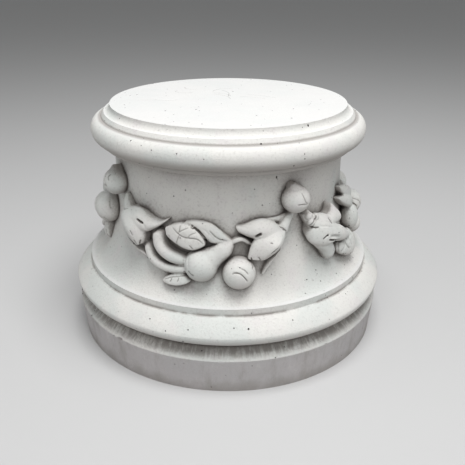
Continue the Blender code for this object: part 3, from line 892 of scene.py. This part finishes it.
def pressed(item, rounds):
    """Presses the item's overlapping forms into one closed mesh and smooths it."""
    press = item.modifiers.new("press", "REMESH")
    press.mode = "VOXEL"
    press.voxel_size = CARVING_GRAIN
    if rounds:
        soften = item.modifiers.new("soften", "SMOOTH")
        soften.factor = 0.5
        soften.iterations = rounds
    settle(item)


def cast_swag(name, groups, cuts):
    """One swag, softened by groups, pressed together and carved, and the points in its cuts."""
    shape = bmesh.new()
    for fill, rounds in groups:
        part = shaped(fill.__name__, fill)
        pressed(part, rounds)
        shape.from_mesh(part.data)
        bpy.data.objects.remove(part)
    item = item_of(name, shape)
    pressed(item, 1)
    grooves = carve(item, cuts)
    thin = item.modifiers.new("thin", "DECIMATE")
    thin.ratio = min(1.0, SWAG_TRIANGLES / triangle_count(item.data))
    settle(item)
    return item, grooves


def line_of(name, chains):
    """A linked object of open chains of edges."""
    points, edges = [], []
    for chain in chains:
        edges += [(len(points) + n, len(points) + n + 1) for n in range(len(chain) - 1)]
        points += chain
    mesh = bpy.data.meshes.new(name)
    mesh.from_pydata(points, edges, [])
    return linked(name, mesh)


def top_scratches():
    """Rows of shallow curved strokes on the top, which form no letters."""
    level = TOP_HEIGHT + 0.25 * MILLIMETRE
    steps = 14
    # each stroke is part of a circle: its middle, its radius, and the degrees it starts and ends at
    arcs = (
        ((-0.030, -0.010), 0.034, 20, 80), ((-0.024, 0.004), 0.026, 30, 100), ((-0.036, 0.020), 0.030, 0, 60),
        ((-0.062, 0.030), 0.012, 200, 330), ((-0.060, 0.052), 0.010, 180, 320),
        ((0.020, -0.030), 0.060, 60, 95), ((0.016, -0.052), 0.070, 70, 96),
        ((-0.010, 0.040), 0.020, 100, 190), ((-0.070, -0.010), 0.018, 240, 330),
    )
    strokes = []
    for (x, y), radius, start, end in arcs:
        turns = [math.radians(start + (end - start) * n / steps) for n in range(steps + 1)]
        strokes.append([(x + radius * math.cos(t), y + radius * math.sin(t), level) for t in turns])
    return strokes


def make_camera():
    """The photograph's camera."""
    data = bpy.data.cameras.new("camera")
    camera = linked("camera", data)
    data.sensor_width = 36.0
    data.lens = FOCAL_PIXELS / FRAME_PIXELS * data.sensor_width
    data.shift_x = (FRAME_PIXELS / 2 - CAMERA_CENTRE[0]) / FRAME_PIXELS
    data.shift_y = -(FRAME_PIXELS / 2 - CAMERA_CENTRE[1]) / FRAME_PIXELS
    level = outward(math.degrees(CAMERA_AZIMUTH)) * math.cos(CAMERA_PITCH)
    back_way = level + Vector((0.0, 0.0, math.sin(CAMERA_PITCH)))
    turn = back_way.to_track_quat("Z", "Y").to_matrix().to_4x4()
    place = Matrix.Translation(CAMERA_AIM + back_way * CAMERA_DISTANCE)
    camera.matrix_world = place @ turn @ Matrix.Rotation(CAMERA_ROLL, 4, "Z")
    bpy.context.scene.camera = camera


def soft_light(name, place, power):
    """A large square lamp that looks at the middle of the pedestal."""
    lamp = bpy.data.lights.new(name, "AREA")
    lamp.size = LAMP_SIZE
    lamp.energy = power
    item = linked(name, lamp)
    item.location = place
    item.rotation_euler = (Vector(place) - Vector((0, 0, 0.12))).to_track_quat("Z", "Y").to_euler()


def make_studio():
    """Plain pale floor and soft light."""
    mesh = bpy.data.meshes.new("floor")
    corners = [(x * FLOOR_REACH, y * FLOOR_REACH, 0) for x, y in ((-1, -1), (1, -1), (1, 1), (-1, 1))]
    mesh.from_pydata(corners, [], [(0, 1, 2, 3)])
    floor = linked("floor", mesh)
    paint = bpy.data.materials.new("floor")
    paint.use_nodes = True
    shader = paint.node_tree.nodes["Principled BSDF"]
    shader.inputs["Base Color"].default_value = FLOOR_GREY
    shader.inputs["Roughness"].default_value = 0.9
    mesh.materials.append(paint)
    world = bpy.data.worlds.new("studio")
    world.use_nodes = True
    background = world.node_tree.nodes["Background"]
    background.inputs["Color"].default_value = SKY_COLOUR
    background.inputs["Strength"].default_value = SKY_STRENGTH
    bpy.context.scene.world = world
    bpy.context.scene.view_settings.view_transform = "Standard"
    for name, (place, power) in LAMPS.items():
        soft_light(name, place, power)


# stone colours: the bleached one is on faces that look straight up
CLEAN_STONE = (0.775, 0.765, 0.735, 1.0)
BLEACHED_STONE = (0.765, 0.765, 0.76, 1.0)
COOL_STONE = (0.70, 0.72, 0.695, 1.0)
PINK_STONE = (0.735, 0.70, 0.70, 1.0)
DRUM_STONE = (0.47, 0.445, 0.452, 1.0)
# the two grime colours also paint shade in hollows, creases and cuts and under the rolls; the pit colour
# paints shade in pits
GRIME_AND_SHADE = (0.33, 0.305, 0.285, 1.0)
DEEP_GRIME_AND_SHADE = (0.13, 0.115, 0.105, 1.0)
PIT_SHADE = (0.05, 0.042, 0.045, 1.0)


def cast_stone():
    """Pale cast stone: mottled, with brown grime and painted shade in its hollows and under its rolls,
    streaks on the slope and small pits with painted shade.
    """
    material = bpy.data.materials.new("cast_stone")
    material.use_nodes = True
    bench = Bench(material.node_tree)
    shader = material.node_tree.nodes["Principled BSDF"]
    place = bench.add("ShaderNodeTexCoord", out="Object")
    axes = bench.add("ShaderNodeSeparateXYZ", fill={"Vector": place})
    height = axes.beside("Z")
    radius = (axes * axes + axes.beside("Y") * axes.beside("Y")) ** 0.5

    broad = bench.noise(place, 14.0, 3.0, 0.55)
    patches = bench.noise(place, 45.0, 4.0, 0.6)
    stipple = bench.noise(place, 420.0, 3.0, 0.65)
    grains = bench.noise(place, 1500.0, 2.0, 0.6)

    # painted shade, with grime, where little sky shows, near and far
    rough_edge = (stipple - 0.5) * 0.35 + (patches - 0.5) * 0.35
    wide_shade_and_grime = bench.between((1 - bench.openness(0.030)) + rough_edge, 0.16, 0.66)
    tight_shade_and_grime = bench.between((1 - bench.openness(0.007)) + rough_edge * 0.8, 0.26, 0.66)

    # grime and painted shade on the slope under the lower roll, broken by pale runs
    round_place = bench.vector(axes / radius, axes.beside("Y") / radius, height * 2.0)
    runs = bench.noise(round_place, 30.0, 4.0, 0.75)
    slope = bench.between(height, FOOT_HEIGHT, FOOT_HEIGHT + 0.007)
    slope = slope * bench.between(height, SLOPE_TOP + 0.003, SLOPE_TOP)
    streaks = slope * bench.between(runs, 0.60, 0.44)

    # the drum is darker, stained, and darker still towards the floor
    stains = bench.noise(round_place, 9.0, 6.0, 0.7)
    drum = bench.between(height, FOOT_HEIGHT + 0.001, FOOT_HEIGHT - 0.001)
    low = bench.between(height + (patches - 0.5) * 0.03, 0.016, -0.002)

    # painted shade on faces that look down and on the upper roll's low half; painted shade with grime on the
    # neck under the upper roll, where the ledge meets the lower roll, and where the cap sits on the upper one
    normal = bench.add("ShaderNodeNewGeometry", out="Normal")
    upward = bench.add("ShaderNodeSeparateXYZ", fill={"Vector": normal}).beside("Z")
    below = bench.between(upward + rough_edge * 0.5, -0.05, -0.75)
    shelter = bench.between(height + rough_edge * 0.01, NECK_TOP - 0.028, NECK_TOP + 0.004)
    shelter = shelter * bench.between(height, ROLL_BOTTOM + 0.006, ROLL_BOTTOM - 0.002)
    belly = bench.between(height + rough_edge * 0.008, ROLL_BOTTOM + 0.013, ROLL_BOTTOM + 0.003)
    belly = belly * bench.between(height, NECK_TOP, ROLL_BOTTOM)
    joint = bench.between(height, LOWER_ROLL_TOP - 0.0012, LOWER_ROLL_TOP)
    joint = joint * bench.between(height + rough_edge * 0.006, LOWER_ROLL_TOP + 0.0035, LOWER_ROLL_TOP)
    joint = joint * bench.between(patches, 0.35, 0.55)
    ring = bench.between(radius + rough_edge * 0.003, ROLL_SEAT_RADIUS + 0.005, ROLL_SEAT_RADIUS + 0.001)
    cap = bench.between(height, ROLL_TOP - 0.0022, ROLL_TOP - 0.0004)
    cap = ring * cap * bench.between(height + rough_edge * 0.004, ROLL_TOP + 0.0022, ROLL_TOP + 0.0004)

    # painted shade and grime in the cuts, and painted shade in the pits and scratches, as the mesh carries
    # them
    cut = bench.add("ShaderNodeAttribute", {"attribute_name": "cut"}, out="Fac")
    pore = bench.add("ShaderNodeAttribute", {"attribute_name": "pit"}, out="Fac")

    # finer pits, painted dark as shade: only the cells whose own number is high hold one, and more of them in
    # some places
    fill = {"Vector": place, "Scale": 150.0}
    cells = bench.add("ShaderNodeTexVoronoi", {"feature": "F1"}, fill, "Distance")
    luck = bench.add("ShaderNodeSeparateColor", fill={"Color": cells.beside("Color")})
    crowd = bench.between(bench.noise(place, 30.0, 2.0, 0.5), 0.35, 0.75) * 0.10
    chosen = bench.between(luck + crowd, 0.90, 0.93)
    pit = chosen * bench.between(cells, 0.135, 0.06)

    # layers over the clean stone, in order, each with the share that it covers
    stone = CLEAN_STONE
    for share, colour in (
        (bench.between(broad, 0.42, 0.62), COOL_STONE),
        (bench.between(patches, 0.50, 0.72) * 0.55, PINK_STONE),
        (drum * 0.80, DRUM_STONE),
        (drum * bench.between(stains, 0.46, 0.72) * 0.55, GRIME_AND_SHADE),
        (drum * bench.between(stains, 0.44, 0.28) * 0.35, CLEAN_STONE),
        (low * 0.6, GRIME_AND_SHADE),
        (bench.between(stipple, 0.50, 0.80) * 0.32, GRIME_AND_SHADE),
        (bench.between(upward, 0.90, 0.99) * 0.7, BLEACHED_STONE),
        # from here on, painted shade under the rolls and on faces that look down, with grime in hollows,
        # creases and cuts, then painted shade in pits
        (below * 0.6, GRIME_AND_SHADE),
        (shelter * 0.5, GRIME_AND_SHADE),
        (belly * 0.6, GRIME_AND_SHADE),
        (wide_shade_and_grime * 0.85, GRIME_AND_SHADE),
        (streaks * 0.85, GRIME_AND_SHADE),
        (joint * 0.8, GRIME_AND_SHADE),
        (cap * 0.75, GRIME_AND_SHADE),
        (tight_shade_and_grime * 0.85, DEEP_GRIME_AND_SHADE),
        (cut * (0.55 + stipple * 0.6), DEEP_GRIME_AND_SHADE),
        (pore * 0.7, PIT_SHADE),
        (pit * 0.9, PIT_SHADE),
    ):
        stone = bench.blend(share, stone, colour)

    relief = stipple * 0.00045 + grains * 0.00015 + patches * 0.0008 - pit * 0.0009
    bump = bench.add("ShaderNodeBump", {}, {"Strength": 0.8, "Distance": 1.0, "Height": relief})
    links = material.node_tree.links
    links.new(stone.socket, shader.inputs["Base Color"])
    links.new((0.82 + wide_shade_and_grime * 0.12 - (grains - 0.5) * 0.1).socket, shader.inputs["Roughness"])
    links.new(bump.socket, shader.inputs["Normal"])
    shader.inputs["Specular IOR Level"].default_value = 0.3
    return material


def make_pedestal():
    """The whole stand as one casting."""
    material = cast_stone()
    outline = [(radius, height, 0.0) for radius, height in pedestal_profile()]
    stone = line_of("pedestal_stone", [outline])
    grow(stone, turning_tree(), {"Material": material})
    front, front_grooves = cast_swag("front_swag", FRONT_SWAG, FRONT_CUTS)
    side, side_grooves = cast_swag("side_swag", SIDE_SWAG, SIDE_CUTS)
    grow(stone, casting_tree(), {"Material": material, "Front swag": front, "Side swag": side})
    scratches = line_of("scratches", top_scratches())
    grow(stone, weather_tree(), {"Material": material, "Scratches": scratches})
    for helper in (front, side, scratches):
        bpy.data.objects.remove(helper)
    grooves = []
    for swag_grooves, start in ((front_grooves, 0), (side_grooves, 90)):
        for turn in (start, start + 180):
            matrix = Matrix.Rotation(math.radians(turn), 3, "Z")
            grooves += [(matrix @ Vector(point), width, dark) for point, width, dark in swag_grooves]
    mark_cuts(stone, grooves)
    stone.data.shade_smooth()
    stone.data.set_sharp_from_angle(angle=math.radians(40))
    print("stone triangles", triangle_count(stone.data))
    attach(stone, "root")
    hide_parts("pedestal")


make_camera()
make_studio()
make_pedestal()
